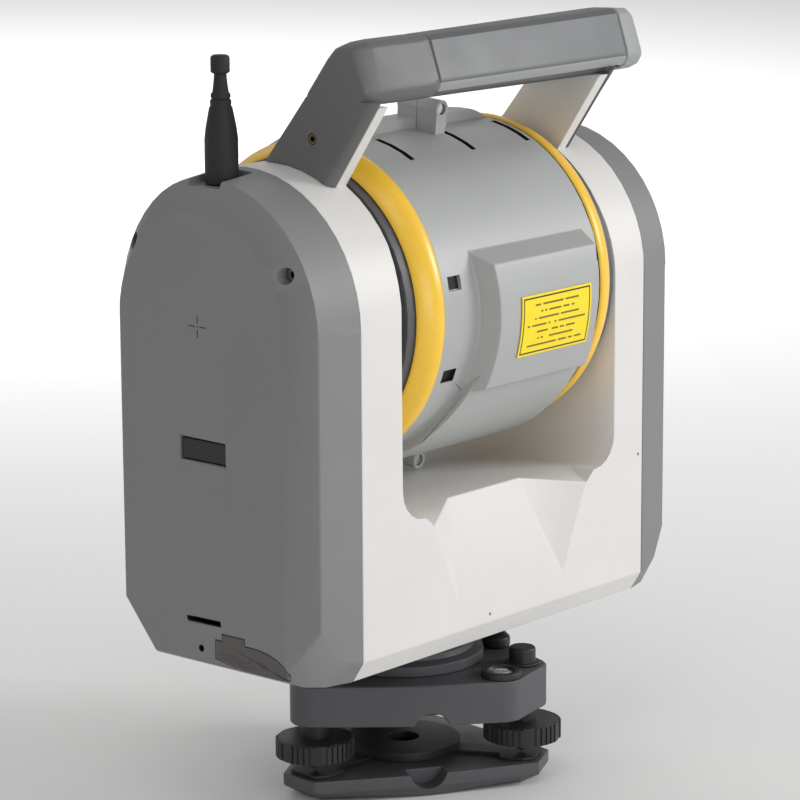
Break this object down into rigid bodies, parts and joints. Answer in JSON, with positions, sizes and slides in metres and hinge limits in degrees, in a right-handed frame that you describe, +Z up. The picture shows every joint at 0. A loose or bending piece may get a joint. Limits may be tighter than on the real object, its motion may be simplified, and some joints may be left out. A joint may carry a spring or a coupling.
{
  "type": "surveying total station",
  "caption": "Motorised surveying instrument: a U-shaped yoke with hollow side covers and a slanted carrying handle holds a tilting telescope drum, and turns on a levelling tribrach.",
  "frame": {"origin": "on the vertical turning axis at the underside of the tribrach base plate, where the tripod screw enters", "axes": "+Z up along the turning axis; +X along the telescope's tilting axis; -Y towards the rear housing with the warning label and the carrying handle's overhang"},
  "size_m": [0.2891, 0.1816, 0.3931],
  "materials": {
    "silver_paint": "fine textured silver paint",
    "grey_paint": "satin grey moulded plastic",
    "drum_paint": "fine textured grey-silver paint",
    "yellow_paint": "smooth yellow moulding",
    "dark_paint": "satin dark grey paint",
    "handle_grey": "satin grey moulded plastic",
    "cap_grey": "light grey moulded plastic",
    "black_plastic": "black moulded plastic",
    "black_rubber": "matt black rubber",
    "steel": "turned steel",
    "brass": "machined brass",
    "label_yellow": "printed yellow foil",
    "board_green": "green circuit board",
    "glass": "coated glass"
  },
  "bodies": {
    "tribrach": {"base_plate": "dark_paint", "spring_plate": "black_plastic", "tripod_thread_bush": "brass", "upper_plate": "dark_paint", "base_flange": "dark_paint", "vertical_spindle": "steel", "horizontal_circle": "glass", "bubble_housing": "black_plastic", "bubble_vial": "glass", "foot_screw_cap_a": "black_plastic", "foot_screw_cap_b": "black_plastic", "foot_screw_cap_c": "black_plastic"},
    "foot_screw_a_body": {"foot_screw_a": "black_plastic"},
    "foot_screw_b_body": {"foot_screw_b": "black_plastic"},
    "foot_screw_c_body": {"foot_screw_c": "black_plastic"},
    "clamp_body": {"clamp_knob": "black_plastic"},
    "alidade": {"yoke": "silver_paint", "bottom_plate": "black_plastic", "azimuth_bearing": "steel", "azimuth_motor": "dark_paint", "left_cover": "grey_paint", "right_cover": "grey_paint", "battery": "black_plastic", "cover_screw_left_front": "steel", "cover_screw_left_rear": "steel", "cover_screw_right_front": "steel", "cover_screw_right_rear": "steel", "antenna": "black_rubber", "antenna_socket": "brass", "port_connector": "steel", "handle_left_shell": "handle_grey", "handle_grip": "handle_grey", "handle_end_cap": "cap_grey", "handle_screw_left": "steel", "handle_screw_right": "steel", "trunnion_bearing_left": "steel", "trunnion_bearing_right": "steel", "tilt_motor": "dark_paint", "main_board": "board_green"},
    "telescope": {"telescope_rear_shell": "drum_paint", "telescope_front_shell": "drum_paint", "camera_window": "glass", "ring_left": "yellow_paint", "ring_right": "yellow_paint", "end_flange_left": "dark_paint", "end_flange_right": "dark_paint", "trunnion_axle_left": "steel", "trunnion_axle_right": "steel", "vertical_circle": "glass", "measuring_unit": "dark_paint", "lens_barrel": "black_plastic", "objective_lens": "glass", "warning_label": "label_yellow", "lug_screw_top": "steel", "lug_screw_bottom": "steel"},
    "port_flap_body": {"port_flap": "black_rubber"},
    "power_key_body": {"power_key": "black_plastic"},
    "battery_door_body": {"battery_door": "grey_paint"},
    "battery_latch_body": {"battery_latch": "black_plastic"}
  },
  "joints": [
    {"name": "azimuth_rotation", "type": "hinge", "parent": "tribrach", "child": "alidade", "pos_m": [0, 0, 0.0854], "axis": [0, 0, 1], "continuous": true},
    {"name": "telescope_tilt", "type": "hinge", "parent": "alidade", "child": "telescope", "pos_m": [0, 0, 0.25727], "axis": [1, 0, 0], "continuous": true},
    {"name": "foot_screw_turn_a", "type": "hinge", "parent": "tribrach", "child": "foot_screw_a_body", "pos_m": [-0.06362, 0.00478, 0.0215], "axis": [0, 0, 1], "range_deg": [-1440, 1440]},
    {"name": "foot_screw_turn_b", "type": "hinge", "parent": "tribrach", "child": "foot_screw_b_body", "pos_m": [0.02767, -0.05749, 0.0215], "axis": [0, 0, 1], "range_deg": [-1440, 1440]},
    {"name": "foot_screw_turn_c", "type": "hinge", "parent": "tribrach", "child": "foot_screw_c_body", "pos_m": [0.03595, 0.05271, 0.0215], "axis": [0, 0, 1], "range_deg": [-1440, 1440]},
    {"name": "clamp_turn", "type": "hinge", "parent": "tribrach", "child": "clamp_body", "pos_m": [0.0445, -0.0265, 0.061], "axis": [0, 0, 1], "range_deg": [0, 180]},
    {"name": "port_flap_hinge", "type": "hinge", "parent": "alidade", "child": "port_flap_body", "pos_m": [-0.1499, 0, 0.0919], "axis": [0, -1, 0], "range_deg": [0, 110]},
    {"name": "power_key_press", "type": "slide", "parent": "alidade", "child": "power_key_body", "axis": [1, 0, 0], "range_m": [0, 0.001], "stiffness_N_per_m": 600},
    {"name": "battery_door_hinge", "type": "hinge", "parent": "alidade", "child": "battery_door_body", "pos_m": [0.138, 0, 0.1079], "axis": [0, 1, 0], "range_deg": [0, 95]},
    {"name": "battery_latch_slide", "type": "slide", "parent": "battery_door_body", "child": "battery_latch_body", "axis": [0, 0, -1], "range_m": [0, 0.005]}
  ]
}
